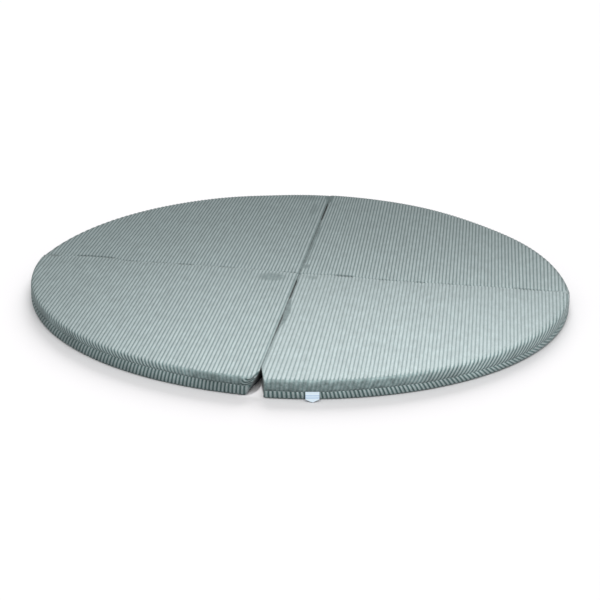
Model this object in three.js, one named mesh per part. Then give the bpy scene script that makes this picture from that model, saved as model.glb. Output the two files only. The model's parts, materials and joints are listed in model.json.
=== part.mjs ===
import * as THREE from 'three';

// Round folding mat: four foam quarters in ribbed velvet covers, laid open on the floor.
// Millimetres, +Z up, +Y towards the back. The left and right folds and the back fold join the quarters,
// and the front seam is an open slit. The ribs run from front to back.

// Driving dimensions
const HEIGHT = 53; // floor to the top of the ribs at a quarter's edge
const CROWN = 1.5; // rise of a quarter's middle above its edges
const RIB_PITCH = 10.4;
const RIB_DEPTH = 1.7;
const SEAM_GAP = 2.4; // between the walls of neighbouring quarters
const CLEARANCE = 0.45; // between a joining strip and the covers beside it
const FOLD_SLOPE_DEG = -1.6; // how far the left-right fold line is turned
const FOLD_WAVER = 5; // how far the fold line wanders sideways
const FOLD_WAVE_LENGTH = 900;

// Front slit: the covers draw the corners in, so the gap widens towards the rim
const SLIT_WEDGE = 19; // each side, at the rim
const WEDGE_FLOOR_LENGTH = 100; // how far back the wedge runs at the floor
const WEDGE_TOP_LENGTH = 42; // and at the top edge
const WEDGE_SPREAD = 60; // width over which the ribs close up for it

// The cover's colours, linear values
const COVER_COLOR = new THREE.Color(0.3, 0.4, 0.4);
const STRIP_COLOR = new THREE.Color(0.17, 0.24, 0.24);
const LABEL_COLOR = new THREE.Color(0.86, 0.9, 0.93);

// One row for each quarter: the side of the centre that it lies on, its rim's radius from the fold line to the
// middle seam in steps of 30 degrees, and how deep its top dips at the middle seam, from the centre to the rim.
const QUARTERS = [
  {
    name: 'pad_back_right', side: 1, front: 1, slit: false,
    rimAtFold: 809, rimNearFold: 784, rimNearSeam: 792, rimAtSeam: 807,
    dipAtFold: 6, dipMiddle: 8, dipNearRim: 13, dipAtRim: 11, dipWidth: 16,
  },
  {
    name: 'pad_back_left', side: -1, front: 1, slit: false,
    rimAtFold: 803, rimNearFold: 784, rimNearSeam: 790, rimAtSeam: 798,
    dipAtFold: 6, dipMiddle: 7, dipNearRim: 11, dipAtRim: 11, dipWidth: 13,
  },
  {
    name: 'pad_front_left', side: -1, front: -1, slit: true,
    rimAtFold: 804, rimNearFold: 798, rimNearSeam: 796, rimAtSeam: 803,
    dipAtFold: 7, dipMiddle: 7, dipNearRim: 6, dipAtRim: 4, dipWidth: 12,
  },
  {
    name: 'pad_front_right', side: 1, front: -1, slit: true,
    rimAtFold: 808, rimNearFold: 808, rimNearSeam: 807, rimAtSeam: 807,
    dipAtFold: 9, dipMiddle: 12, dipNearRim: 7, dipAtRim: 4, dipWidth: 20,
  },
];

// Section of the rim, from the top edge down to the floor: inset from the widest line, height, and the share
// of the ribs' depth. The top and bottom panels meet in the drawn-in seam.
const RIM_SECTION = [
  { inset: 20, height: HEIGHT, rib: 1 },
  { inset: 6.5, height: 48.5, rib: 1 },
  { inset: 0.5, height: 34, rib: 1 },
  { inset: 3, height: 23, rib: 0 },
  { inset: 0, height: 17, rib: 1 },
  { inset: 2, height: 6, rib: 1 },
  { inset: 10, height: 0, rib: 0 },
];
const SEAM_ROW = 3;

// Section of the fold side, from the floor up to the top edge: inset from the wall, height, how far it reaches
// into the rounded corner at the rim, and the share of the ribs' depth.
const FOLD_SECTION = [
  { inset: 7, height: 0, reach: 10, rib: 0 },
  { inset: 0, height: 8, reach: 16, rib: 0 },
  { inset: 0, height: HEIGHT - 9, reach: 16, rib: 0 },
  { inset: 4.8, height: HEIGHT - 3.4, reach: 8, rib: 0.6 },
  { inset: 13, height: HEIGHT, reach: 0, rib: 1 },
];

// Rows across the top between the fold side and the rim: how far along, and the share of the crown.
const TOP_ROWS = [
  { along: 0.48, crown: 1 },
  { along: 0.965, crown: 0.2 },
];

const FOOT_INSET = 6; // of the bottom edge along the middle seam
const CORNER_RADIUS = 8; // of the rim's corner at the middle seam
const END_WIDTH = 30; // of the flat end at the fold's corner
const END_STEPS = 3; // columns that round the rim beyond the last rib
const END_COLUMNS = 10; // columns over which the fold side reaches out into its corner
const SLANT_FROM = 0.04; // angle from the fold, in radians, where the ribs begin to slant down the rim
const SLANT_OVER = 0.24; // angle over which they reach their full slant
const SPARSE_STEP = 8; // ribs and valleys to a step on the plain faces

// Joining strips
const STRIP_THICKNESS = 2;
const TOP_STRIP_HEIGHT = HEIGHT - 7.6; // floor to the underside of the strips in the left and right folds
const BACK_STRIP_HEIGHT = 0.7; // floor to the underside of the strip in the back fold
const STRIP_END = 24; // from the rim to a strip's end
const STRIP_START = 10; // from the centre to a strip's start
const STRIP_STEPS = 14;

// Label, hanging from the mid seam to the floor at fromCentre to the right. Its front lies thickness further out
// than its back, and liftOfFace higher.
const LABEL = { width: 38, thickness: 0.9, liftOfFace: 0.55, fromCentre: 144.5 };
// Its fall from the seam: distance outward from the widest line of the rim, and height
const LABEL_FALL = [
  { out: -2.3, height: 22.6 },
  { out: -0.5, height: 19.6 },
  { out: 6, height: 13 },
  { out: 12, height: 5.5 },
];
const LABEL_TIP = { out: 17, height: 0.8 };

const covers = new THREE.MeshStandardMaterial({ color: COVER_COLOR, roughness: 0.9, metalness: 0 });
const strips = new THREE.MeshStandardMaterial({ color: STRIP_COLOR, roughness: 0.95, metalness: 0 });
const satin = new THREE.MeshStandardMaterial({ color: LABEL_COLOR, roughness: 0.6, metalness: 0 });

const clamp01 = (value) => Math.min(1, Math.max(0, value));
const smooth = (value) => {
  const t = clamp01(value);
  return t * t * (3 - 2 * t);
};

// Where the fold line runs at a distance x from the centre
function foldLine(x) {
  const slope = Math.tan(THREE.MathUtils.degToRad(FOLD_SLOPE_DEG));
  return slope * x - FOLD_WAVER * Math.sin((2 * Math.PI * x) / FOLD_WAVE_LENGTH);
}

// A curve through four values that stand at 0, 1/3, 2/3 and 1
function throughFour(values, t) {
  const [a, b, c, d] = values;
  const s = 3 * t;
  return (
    (-a * (s - 1) * (s - 2) * (s - 3)) / 6 +
    (b * s * (s - 2) * (s - 3)) / 2 -
    (c * s * (s - 1) * (s - 3)) / 2 +
    (d * s * (s - 1) * (s - 2)) / 6
  );
}

// The cover's length from the edge of its panel to each row of the rim's section
function coverLengths() {
  const last = RIM_SECTION.length - 1;
  const step = (row) => {
    const from = RIM_SECTION[row];
    const to = RIM_SECTION[row + 1];
    return Math.hypot(to.inset - from.inset, to.height - from.height);
  };
  const sum = (from, to) => {
    let total = 0;
    for (let row = from; row < to; row += 1) total += step(row);
    return total;
  };
  return RIM_SECTION.map((_, row) => {
    if (row <= SEAM_ROW) return sum(0, row) - RIM_SECTION[0].inset;
    return sum(row, last) - RIM_SECTION[last].inset;
  });
}

// Joins two rows of vertices with triangles. Each row lists { column, vertex } from the middle seam outward.
function stitch(lower, upper, triangles) {
  let i = 0;
  let j = 0;
  while (i < lower.length - 1 || j < upper.length - 1) {
    const halfway = j < upper.length - 1 ? (upper[j].column + upper[j + 1].column) / 2 : Infinity;
    if (i < lower.length - 1 && lower[i + 1].column <= halfway) {
      triangles.push([lower[i].vertex, lower[i + 1].vertex, upper[j].vertex]);
      i += 1;
    } else {
      triangles.push([lower[i].vertex, upper[j + 1].vertex, upper[j].vertex]);
      j += 1;
    }
  }
}

function solid(points, triangles, material, name) {
  const geometry = new THREE.BufferGeometry();
  geometry.setAttribute('position', new THREE.Float32BufferAttribute(points.flat(), 3));
  geometry.setIndex(triangles.flat());
  geometry.computeVertexNormals();
  const mesh = new THREE.Mesh(geometry, material);
  mesh.name = name;
  return mesh;
}

const mirrored = (triangles) => triangles.map(([a, b, c]) => [a, c, b]);

// One quarter, worked out in its own coordinates: u from the middle seam outward, v from the centre to the rim.
function quarter(pad) {
  const rimRadii = [pad.rimAtFold, pad.rimNearFold, pad.rimNearSeam, pad.rimAtSeam];
  const radius = (angle) => throughFour(rimRadii, (2 * angle) / Math.PI);
  const fold = (u) => pad.front * foldLine(pad.side * u) + SEAM_GAP / 2;
  const wedgeAt = (v, z) => {
    if (!pad.slit) return 0;
    const length = WEDGE_FLOOR_LENGTH + ((WEDGE_TOP_LENGTH - WEDGE_FLOOR_LENGTH) * z) / HEIGHT;
    return SLIT_WEDGE * clamp01(1 - (pad.rimAtSeam - v) / length);
  };
  const shifted = (u, v, z) => u + wedgeAt(v, z) * clamp01(1 - (u - SEAM_GAP / 2) / WEDGE_SPREAD);
  // How far a quarter-round edge of a given depth and width falls away at a distance from its wall
  const rounded = (depth, width, beside) => {
    const left = clamp01(1 - beside / width);
    return depth * (1 - Math.sqrt(1 - left * left));
  };
  const dipped = (depth, beside, height) => rounded(depth, pad.dipWidth, beside) * (height / HEIGHT) ** 2;

  // The angle at which a rib crosses a row of the rim: the cover carries the rib straight on as it wraps down
  const lengths = coverLengths();
  const reachAt = (angle, row) => (radius(angle) + lengths[row]) * Math.cos(angle);
  const crossing = (u, row) => {
    let low = 0;
    let high = Math.PI / 2;
    for (let pass = 0; pass < 30; pass += 1) {
      const angle = (low + high) / 2;
      if (reachAt(angle, row) > u) low = angle;
      else high = angle;
    }
    return (low + high) / 2;
  };

  // Ridges and valleys lie on alternate columns, and the last few columns only round off the rim
  const columns = [{ u: SEAM_GAP / 2, depth: 0 }];
  const topRadius = pad.rimAtFold - RIM_SECTION[0].inset;
  const endAngle = Math.asin((fold(topRadius) + END_WIDTH) / topRadius);
  for (let step = 1; (step * RIB_PITCH) / 2 < reachAt(endAngle, 0) - 1; step += 1) {
    columns.push({ u: (step * RIB_PITCH) / 2, depth: step > 1 && step % 2 === 1 ? RIB_DEPTH : 0 });
  }
  const ribAngle = crossing(columns[columns.length - 1].u, 0);
  for (let step = 1; step <= END_STEPS; step += 1) {
    columns.push({ u: reachAt(ribAngle + ((endAngle - ribAngle) * step) / END_STEPS, 0), depth: 0 });
  }
  const last = columns.length - 1;
  const topAngles = columns.map(({ u }) => crossing(u, 0));
  const crownAt = (u) => CROWN * (1 - Math.abs((2 * u) / topRadius - 1) ** 3);

  const rimPoint = (row, column) => {
    const { inset, height, rib } = RIM_SECTION[row];
    const { u, depth } = columns[column];
    const top = topAngles[column];
    const angle = top + (crossing(u, row) - top) * smooth((top - SLANT_FROM) / SLANT_OVER);
    const raised = rib * depth;
    const r = radius(angle) - inset - (row === 0 ? 0 : raised);
    const beside = column === 0 ? 0 : r * Math.cos(angle) - SEAM_GAP / 2;
    const v = r * Math.sin(angle) - rounded(CORNER_RADIUS, CORNER_RADIUS, beside);
    const z = height - dipped(pad.dipAtRim, beside, height) - (row === 0 ? raised : 0);
    const foot = row === RIM_SECTION.length - 1 && column === 0 ? FOOT_INSET : 0;
    return [shifted(SEAM_GAP / 2 + beside, v, height) + foot, v, z];
  };
  const foldPoint = (row, column) => {
    const { inset, height, reach, rib } = FOLD_SECTION[row];
    const end = smooth(1 - (last - column) / END_COLUMNS);
    const foot = row === 0 && column === 0 ? FOOT_INSET : 0;
    const u = columns[column].u + reach * end + foot;
    const dip = dipped(pad.dipAtFold, columns[column].u - SEAM_GAP / 2, height);
    return [u, fold(u) + inset, height - dip - rib * columns[column].depth];
  };
  const topDips = [pad.dipMiddle, pad.dipNearRim];
  const topPoint = (row, column) => {
    const { along, crown } = TOP_ROWS[row];
    const from = foldPoint(FOLD_SECTION.length - 1, column);
    const to = rimPoint(0, column);
    const v = from[1] + (to[1] - from[1]) * along;
    const { u, depth } = columns[column];
    const dip = dipped(topDips[row], u - SEAM_GAP / 2, HEIGHT);
    return [shifted(u, v, HEIGHT), v, HEIGHT + crown * crownAt(u) - dip - depth];
  };

  // The rows go round the section: floor, fold side, top, rim, floor. The plain ones carry no ribs.
  const rows = [];
  FOLD_SECTION.forEach(({ rib }, row) => {
    rows.push({ at: (column) => foldPoint(row, column), plain: rib === 0 });
  });
  TOP_ROWS.forEach((_, row) => {
    rows.push({ at: (column) => topPoint(row, column), plain: false });
  });
  RIM_SECTION.forEach((_, row) => {
    rows.push({ at: (column) => rimPoint(row, column), plain: row === RIM_SECTION.length - 1 });
  });

  const points = [];
  const grid = rows.map(({ at, plain }) => {
    const line = [];
    for (let column = 0; column <= last; column += 1) {
      if (plain && column % SPARSE_STEP !== 0 && column !== last) continue;
      const [u, v, z] = at(column);
      line.push({ column, vertex: points.length });
      points.push([pad.side * u, pad.front * v, z]);
    }
    return line;
  });

  const triangles = [];
  grid.forEach((line, row) => stitch(line, grid[(row + 1) % grid.length], triangles));

  // The wall along the middle seam, spread from a point behind the slit's wedge, and its foot
  const first = grid.map((line) => line[0].vertex);
  const foldFoot = first[0];
  const rimFoot = first[first.length - 1];
  const wall = first.slice(1, -1);
  const wallHeart = points.length;
  const heartV = pad.rimAtSeam - WEDGE_FLOOR_LENGTH;
  points.push([(pad.side * SEAM_GAP) / 2, pad.front * heartV, HEIGHT / 2]);
  for (let i = 0; i < wall.length; i += 1) {
    triangles.push([wall[i], wall[(i + 1) % wall.length], wallHeart]);
  }
  triangles.push([foldFoot, wall[0], wall[wall.length - 1]]);
  triangles.push([foldFoot, wall[wall.length - 1], rimFoot]);

  // The end at the fold's outer corner
  const end = grid.map((line) => line[line.length - 1].vertex);
  const endHeart = points.length;
  const endU = pad.rimAtFold - 1;
  points.push([pad.side * endU, pad.front * (fold(endU) + END_WIDTH / 2), HEIGHT / 2]);
  for (let i = 0; i < end.length; i += 1) {
    triangles.push([end[(i + 1) % end.length], end[i], endHeart]);
  }

  const facing = pad.side * pad.front > 0 ? triangles : mirrored(triangles);
  return solid(points, facing, covers, pad.name);
}

// A strip of four-sided section along a line of { centre, across } places. Its sides keep clear of the covers
// beside it: halfWidth gives its half width at a height.
function strip(name, places, height, halfWidth) {
  const halfBelow = halfWidth(height);
  const halfAbove = halfWidth(height + STRIP_THICKNESS);
  const points = [];
  const triangles = [];
  places.forEach(({ centre, across }) => {
    const corner = (half, z) => points.push([centre[0] + across[0] * half, centre[1] + across[1] * half, z]);
    corner(-halfBelow, height);
    corner(halfBelow, height);
    corner(halfAbove, height + STRIP_THICKNESS);
    corner(-halfAbove, height + STRIP_THICKNESS);
  });
  for (let place = 0; place < places.length - 1; place += 1) {
    const near = 4 * place;
    const far = near + 4;
    for (let side = 0; side < 4; side += 1) {
      const next = (side + 1) % 4;
      triangles.push([near + side, near + next, far + next], [near + side, far + next, far + side]);
    }
  }
  const end = points.length - 4;
  triangles.push([0, 2, 1], [0, 3, 2], [end, end + 1, end + 2], [end, end + 2, end + 3]);
  return solid(points, triangles, strips, name);
}

// The strip between a front quarter and a back one lies in the V between their upper edges
function foldStrip(name, side) {
  const places = [];
  const reach = side > 0 ? QUARTERS[0].rimAtFold : QUARTERS[1].rimAtFold;
  for (let step = 0; step <= STRIP_STEPS; step += 1) {
    const x = side * (STRIP_START + ((reach - STRIP_END - STRIP_START) * step) / STRIP_STEPS);
    places.push({ centre: [x, foldLine(x)], across: [0, side] });
  }
  const [, , wall, shoulder] = FOLD_SECTION;
  return strip(name, places, TOP_STRIP_HEIGHT, (z) => {
    const along = (z - wall.height) / (shoulder.height - wall.height);
    return SEAM_GAP / 2 + along * (shoulder.inset - wall.inset) - CLEARANCE;
  });
}

// The strip between the back quarters lies in the V between their lower edges
function backStrip(name) {
  const lowestEdge = RIM_SECTION[RIM_SECTION.length - 2].height;
  const places = [2 * STRIP_START, QUARTERS[1].rimAtSeam - STRIP_END].map((y) => {
    return { centre: [0, y], across: [-1, 0] };
  });
  return strip(name, places, BACK_STRIP_HEIGHT, (z) => {
    return SEAM_GAP / 2 + FOOT_INSET * (1 - z / lowestEdge) - CLEARANCE;
  });
}

// A doubled label with a slightly pointed lower edge, stiff enough to stand off the rim
function label() {
  const pad = QUARTERS[3];
  const angle = Math.asin(LABEL.fromCentre / pad.rimAtSeam);
  const outward = [Math.sin(angle), -Math.cos(angle)];
  const sideways = [Math.cos(angle), Math.sin(angle)];
  const points = [];
  const place = (out, sidestep, z) => {
    const r = pad.rimAtSeam + out;
    points.push([outward[0] * r + sideways[0] * sidestep, outward[1] * r + sideways[1] * sidestep, z]);
  };
  const half = LABEL.width / 2;
  [{ out: 0, up: 0 }, { out: LABEL.thickness, up: LABEL.liftOfFace }].forEach((side) => {
    LABEL_FALL.forEach(({ out, height }) => {
      place(out + side.out, -half, height + side.up);
      place(out + side.out, half, height + side.up);
    });
    place(LABEL_TIP.out + side.out, 0, LABEL_TIP.height + side.up);
  });
  const layer = 2 * LABEL_FALL.length + 1;
  const triangles = [];
  const face = (base, flip) => {
    const add = (a, b, c) => triangles.push(flip ? [a, c, b] : [a, b, c]);
    for (let row = 0; row < LABEL_FALL.length - 1; row += 1) {
      const at = base + 2 * row;
      add(at, at + 1, at + 3);
      add(at, at + 3, at + 2);
    }
    add(base + layer - 3, base + layer - 2, base + layer - 1);
  };
  face(0, false);
  face(layer, true);
  const edge = [];
  for (let row = 0; row < LABEL_FALL.length; row += 1) edge.push(2 * row);
  edge.push(layer - 1);
  for (let row = LABEL_FALL.length - 1; row >= 0; row -= 1) edge.push(2 * row + 1);
  edge.forEach((at, i) => {
    const next = edge[(i + 1) % edge.length];
    triangles.push([at, next, next + layer], [at, next + layer, at + layer]);
  });
  return solid(points, triangles, satin, 'label');
}

const group = new THREE.Group();
QUARTERS.forEach((pad) => group.add(quarter(pad)));
group.add(foldStrip('fold_left', -1), foldStrip('fold_right', 1), backStrip('fold_back'), label());

// The origin is on the floor, below the middle of the mat's box
const box = new THREE.Box3().setFromObject(group);
const middle = box.getCenter(new THREE.Vector3());
group.position.set(-middle.x, -middle.y, -box.min.z);
group.updateMatrixWorld(true);

export default group;
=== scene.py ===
# Round folding mat in wide-wale velvet corduroy, laid open: four quarters, joining strips and a label.
import json
import math

import bmesh
import bpy
import numpy as np
from mathutils import Matrix, Vector

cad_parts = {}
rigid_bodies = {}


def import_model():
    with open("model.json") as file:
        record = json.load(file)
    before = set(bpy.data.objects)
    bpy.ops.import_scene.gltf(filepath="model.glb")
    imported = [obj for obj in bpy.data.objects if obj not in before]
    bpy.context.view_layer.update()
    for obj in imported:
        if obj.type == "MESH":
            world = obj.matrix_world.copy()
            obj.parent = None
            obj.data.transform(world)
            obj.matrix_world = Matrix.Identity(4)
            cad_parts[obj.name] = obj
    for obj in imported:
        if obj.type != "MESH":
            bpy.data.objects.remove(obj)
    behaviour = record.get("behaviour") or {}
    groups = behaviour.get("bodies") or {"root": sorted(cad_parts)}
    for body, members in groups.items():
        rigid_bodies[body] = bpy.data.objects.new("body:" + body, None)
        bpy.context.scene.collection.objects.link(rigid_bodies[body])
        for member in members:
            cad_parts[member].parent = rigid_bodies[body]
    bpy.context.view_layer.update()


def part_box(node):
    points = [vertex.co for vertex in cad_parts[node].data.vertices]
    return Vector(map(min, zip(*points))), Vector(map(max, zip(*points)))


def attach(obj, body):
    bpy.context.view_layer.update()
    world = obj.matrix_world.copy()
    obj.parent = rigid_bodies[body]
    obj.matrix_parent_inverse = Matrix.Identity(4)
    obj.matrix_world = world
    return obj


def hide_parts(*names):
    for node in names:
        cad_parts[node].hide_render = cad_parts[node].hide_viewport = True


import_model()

# Sizes are in millimetres, measured from the crossing of the folds, with +Y along the back fold.
MM = 0.001
HEIGHT = 53
CROWN = 1.5
RIB_PITCH = 10.4
RIB_DEPTH = 2.0
SEAM_GAP = 2.4
FOLD_SLOPE_DEG = -1.6
FOLD_WAVER = 5
FOLD_WAVE_LENGTH = 900

# The four quarters. u runs from the middle seam outward and v from the left-right fold to the rim.
# side, front: the signs of x and y on the quarter
# radii: of the rim, from the fold line to the middle seam in steps of 30 degrees
# hollows: where the rim lies further in, as degrees from the fold line, spread and depth
# dips: of the top along the middle seam, at DIP_PLACES
# seam: how far the middle seam stands open, as pairs of v and openness
# joint: how high the top and bottom panels meet, as pairs of degrees from the middle seam and height
# turn: degrees that the ribs stand askew
# valley: how dark the valleys are on the top, as a share, which is partly painted shade
# phase: how far they are shifted, in ribs
# pressed: degrees from the middle seam within which the upper band's ribs are pressed flat
# band: painted light and shade on the band, as pairs of degrees from the middle seam and share
# bare: width without ribs beside the middle seam, as pairs of v and width
# wedges: width and length by which the covers draw the side in towards the rim, at the floor and at the top
# corners: length, depth and roundness of the rounding of the outer corner, at the floor and at the top
# curls: whether the ribs curl round the outer corner
# droop: how far the outer corner sags, and over what distance
# patches: spots of crushed pile on the top, as u, v, half width, half length and share
BACK_SEAM = ((0, 0.2), (40, 0), (520, 0), (550, 1), (685, 1), (710, 0), (800, 0))
SLIT_SEAM = (
    (0, 0.2), (40, 0), (62, 1), (185, 1), (210, 0), (320, 0), (345, 0.5), (440, 0.5), (500, 0.1), (740, 0),
    (800, 0.8),
)
BACK_JOINT = ((0, 23), (90, 23))
LEFT_JOINT = ((0, 28), (10, 31), (17, 33.5), (35, 34), (50, 31), (90, 28))
RIGHT_JOINT = ((0, 22), (14, 22), (20, 24.5), (26, 24.5), (33, 23), (45, 22), (55, 20), (90, 22))
PADS = {
    "pad_back_right": dict(
        side=1, front=1, radii=(805, 785, 792, 801), hollows=((47, 13, 9),), dips=(6, 9, 12, 1), dip_width=20,
        seam=BACK_SEAM, joint=BACK_JOINT, turn=-1.4, valley=1, phase=0.375, pressed=20,
        band=((0, 1), (90, 1)),
        bare=((0, 3), (100, 7), (432, 9), (500, 3), (690, 2), (740, 12), (800, 12)),
        wedges=((0, 1), (0, 1)), corners=((3, 3, 1), (3, 3, 1)), curls=False, droop=(0, 1),
        patches=((14, 60, 14, 26, 0.8), (12, 130, 9, 22, 0.6)), seed=1),
    "pad_back_left": dict(
        side=-1, front=1, radii=(797, 780, 790, 796), hollows=((75, 8, 7),), dips=(4, 4, 8, 1), dip_width=9,
        seam=BACK_SEAM, joint=BACK_JOINT, turn=0.9, valley=1, phase=0.25, pressed=20, band=((0, 1), (90, 1)),
        bare=((0, 2), (700, 2), (750, 10), (800, 10)),
        wedges=((0, 1), (0, 1)), corners=((3, 3, 1), (3, 3, 1)), curls=False, droop=(0, 1),
        patches=((36, 610, 16, 90, 0.5), (70, 740, 60, 40, 0.4)), seed=2),
    "pad_front_left": dict(
        side=-1, front=-1, radii=(799, 794, 792, 799), hollows=(), dips=(7, 7, 6, 3), dip_width=12,
        seam=SLIT_SEAM, joint=LEFT_JOINT, turn=0.0, valley=0.95, phase=0, pressed=10,
        band=((0, 0.78), (9, 0.85), (15, 1.2), (40, 1.25), (44, 0.95), (48, 1.2), (52, 1.2), (57, 0.85),
              (63, 0.95), (72, 1.1)),
        bare=((0, 2), (800, 2)), wedges=((29, 145), (3, 60)), corners=((8, 8, 1), (30, 50, 1)), curls=True,
        droop=(4, 60), patches=((75, 50, 55, 48, 0.75),), seed=3),
    "pad_front_right": dict(
        side=1, front=-1, radii=(805, 806, 805, 805), hollows=(), dips=(9, 12, 7, 3), dip_width=20,
        seam=SLIT_SEAM, joint=RIGHT_JOINT, turn=-1.1, valley=0.78, phase=0.125, pressed=24,
        band=((0, 0.9), (10, 0.94), (30, 1.05), (38, 0.92), (42, 1.2), (50, 1.15), (54, 0.95), (60, 1.15)),
        bare=((0, 2), (190, 3), (260, 12), (330, 20), (400, 15), (450, 3), (800, 2)),
        wedges=((19, 105), (20, 92)), corners=((5, 5, 1), (8, 7, 1)), curls=False, droop=(3, 30),
        patches=((44, 36, 24, 24, 0.5),), seed=4),
}
DIP_PLACES = (0, 0.48, 0.9, 1)

# One rib across, from valley to valley: how far it lies below the ridge, as a share of the ribs' depth
RIB_PROFILE = (1.0, 0.62, 0.22, 0.05, 0.0, 0.05, 0.22, 0.62)
COLUMNS_PER_RIB = len(RIB_PROFILE)

# Section of the rim, from the top edge down: inset from the widest line, height, share of the ribs' depth
RIM_SECTION = (
    (20, 53, 1), (13, 52.8, 1), (7, 51.6, 1), (3.2, 48.6, 1), (1.3, 43, 1), (0.4, 35, 1), (0.5, 28.5, 0.9),
    (1.2, 25.4, 0.8), (2.1, 23.4, 0.6), (1.2, 21.4, 0.8), (0.5, 18.6, 1), (0, 14, 1), (0.3, 8, 1),
    (1.4, 3.6, 0.9), (3.8, 1, 0.7), (7.5, 0, 0.6),
)
# Which of these points is the mid seam, and how many rows of the mesh lie between two points
SEAM_POINT = 8
RIM_STEPS = 3

# Section of the fold side, from the floor up: inset from the wall, height and share of the ribs' depth.
# The first inset holds where the fold is closed and the second where it stands open.
FOLD_SECTION = (
    ((7, 7), 0, 0.6), ((2, 2), 2, 0.5), ((0, 0), 8, 0.5), ((0, 0), 26, 0.5), ((0, 0.4), 42, 0.5),
    ((-0.6, 1.0), 46.8, 0.6), ((-1.0, 1.5), 49.8, 0.8), ((-0.4, 3), 52, 1), ((2, 7), 53, 1),
)
# Stretches of the left-right fold that stand open, as x from the centre, and how far
OPEN_FOLDS = (
    (-772, -745, 0.6), (-690, -575, 0.8), (-547, -493, 0.35), (-452, -430, 0.3), (-372, -328, 0.6),
    (-243, -197, 0.3), (-45, -8, 0.4), (108, 164, 1.0), (242, 302, 0.4), (348, 378, 0.7), (445, 462, 0.3),
    (498, 512, 0.5), (638, 722, 0.55), (730, 778, 0.3),
)
# Over what length a stretch opens, how far the edges sag there, and over what distance beside the fold
OPEN_SOFTNESS = 9
OPEN_SAG = 1.2
OPEN_SAG_REACH = 16
# Where the fold line runs further back: middle, half length and distance
FOLD_BENDS = ((-630, 72, 20), (135, 70, 8))

# The mesh: rows on the top and underneath, columns close to the wall, columns in the narrow end by the fold
# and that end's width, and the least step between two columns
TOP_ROWS = 84
BOTTOM_ROWS = 3
EDGE_COLUMNS = (0.15, 0.5)
END_STEPS = 12
END_WIDTH = 9
LEAST_STEP = 0.04
# How often the search for a rib's crossing with the rim halves its range
HALVINGS = 40
# Over how many ribs the fold side runs out into the rim
REACH_RIBS = 6
# Rounding of the wall at the floor
FOOT_INSET = 6
FOOT_HEIGHT = 8
# Radians from the fold at which the columns on the band start to slant, and over which they do
SLANT_FROM = 0.04
SLANT_OVER = 0.24
# How far from the sides of the quarter the ribs stand fully askew
ASKEW_SPREAD = 160

# How far the covers bulge into the middle seam where it is closed, or draw back where it stands open,
# and over what distance beside it
SEAM_CLOSED = 1.15
SEAM_OPENED = 0.4
CLOSING_REACH = 6
# How deep the dip along the middle seam is where the seam is closed, as a share
CLOSED_DIP = 0.5

# Columns that run into a wedge are squeezed together over this many times its width
WEDGE_SPREAD = 1.2
# How softly a wedge begins, as a share of its length
WEDGE_SOFTNESS = 0.12

# Ribs that curl round the slit's corner: their centre from the wall and above the top, how wide they reach
# and over what width they fade, over what depth they begin, and how much closer and deeper they lie
CURL_MIDDLE = 12
CURL_ABOVE = 4
CURL_WIDTH = 22
CURL_SOFTNESS = 12
CURL_START = 6
CURL_TIGHTNESS = 1.2
CURL_RELIEF = 0.9
# Painted shade on the curled ribs at the slit's corner, as a share
CURL_SHADE = 0.05

# Wall along the middle seam: levels of the mesh, the lowest level's height, and lines between top and rim
WALL_LEVELS = 56
WALL_LOWEST = 1.5
WALL_END_LINES = 7
# Its ribs: how far from the rim they start to curl, their depth, and the lengths over which they begin
WALL_CURL_LENGTH = 34
WALL_CURL_START = 0.4 * RIB_PITCH
WALL_RIB_DEPTH = 2.6
WALL_RIBS_FROM = 600
WALL_RIBS_OVER = 60
WALL_RIBS_EDGE = 5
WALL_RIBS_FOOT = 6
# Its pile: how crushed it is, its painted shade within the seam and its lighter paint at the rim, and how far
# that painted light reaches
WALL_CRUSH = 0.3
WALL_SHADE = 0.25
WALL_LIGHT = 0.4
WALL_LIGHT_REACH = 90

# How uneven the foam is: on the top and on the band, with the lengths of its waves
TOP_WAVE = 0.6
TOP_WAVE_LENGTHS = (130, 240, 420)
BAND_BULGE = 0.9
BAND_WAVE_LENGTHS = (83, 151, 290)
NAP_WAVE = 0.06
NAP_WAVE_LENGTHS = (23, 41, 77)
LOWER_BAND_SEED, NAP_SEED, TOP_SEED = 10, 20, 30

# Where the upper band's ribs are pressed flat: first row, rows and degrees of the change, share of the relief
PRESSED_ROW = 3
PRESSED_ROWS = 4
PRESSED_SOFTNESS = 14
PRESSED_RELIEF = 0.6

# How dark the valleys are on the top, where 1 is the darkest valley of the band: partly the bare ground of
# the cord, partly painted shade that deepens down the band
TOP_VALLEY = 0.8
# How wide the valleys look: 1 as they are, less is wider. Down the band they widen over some rows, which
# paints more shade there.
UPPER_VALLEY_WIDTH = 0.6
LOWER_VALLEY_WIDTH = 0.45
CURL_VALLEY_WIDTH = 0.4
VALLEY_ROWS = 9
# How much darker the pile looks where it is pressed or crushed. The rest is painted shade: where the fold
# stands open and close beside it, along the fold side, in the mid seam and on the back rim's rounding, which
# turns away from the light
PRESSED_FADE = 0.75
PRESSED_DARK = 0.45
CRUSH_SHADE = 0.2
CRUSH_DARK = 0.5
OPEN_FOLD_SHADE = 0.4
OPEN_FOLD_NEAR_SHADE = 0.35
OPEN_FOLD_NEAR = 9
FOLD_SIDE_SHADE = 0.05
SEAM_SHADE = 0.12
BACK_RIM_SHADE = 0.28
BACK_RIM_TURN = 16
# How crushed the pile is, from 0 to 1
CRUSH_MOTTLE = 0.4
FOLD_CRUSH = 0.2
BAND_CRUSH = 0.12
PRESSED_CRUSH = 0.5
BAND_CRUSH_ROWS = 6
# How softly the bare edge and the crushed patches end
BARE_SOFTNESS = 4
PATCH_CORE = 0.4


def smooth(value):
    """A soft step from 0 to 1."""
    t = np.clip(value, 0, 1)
    return t * t * (3 - 2 * t)


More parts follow.
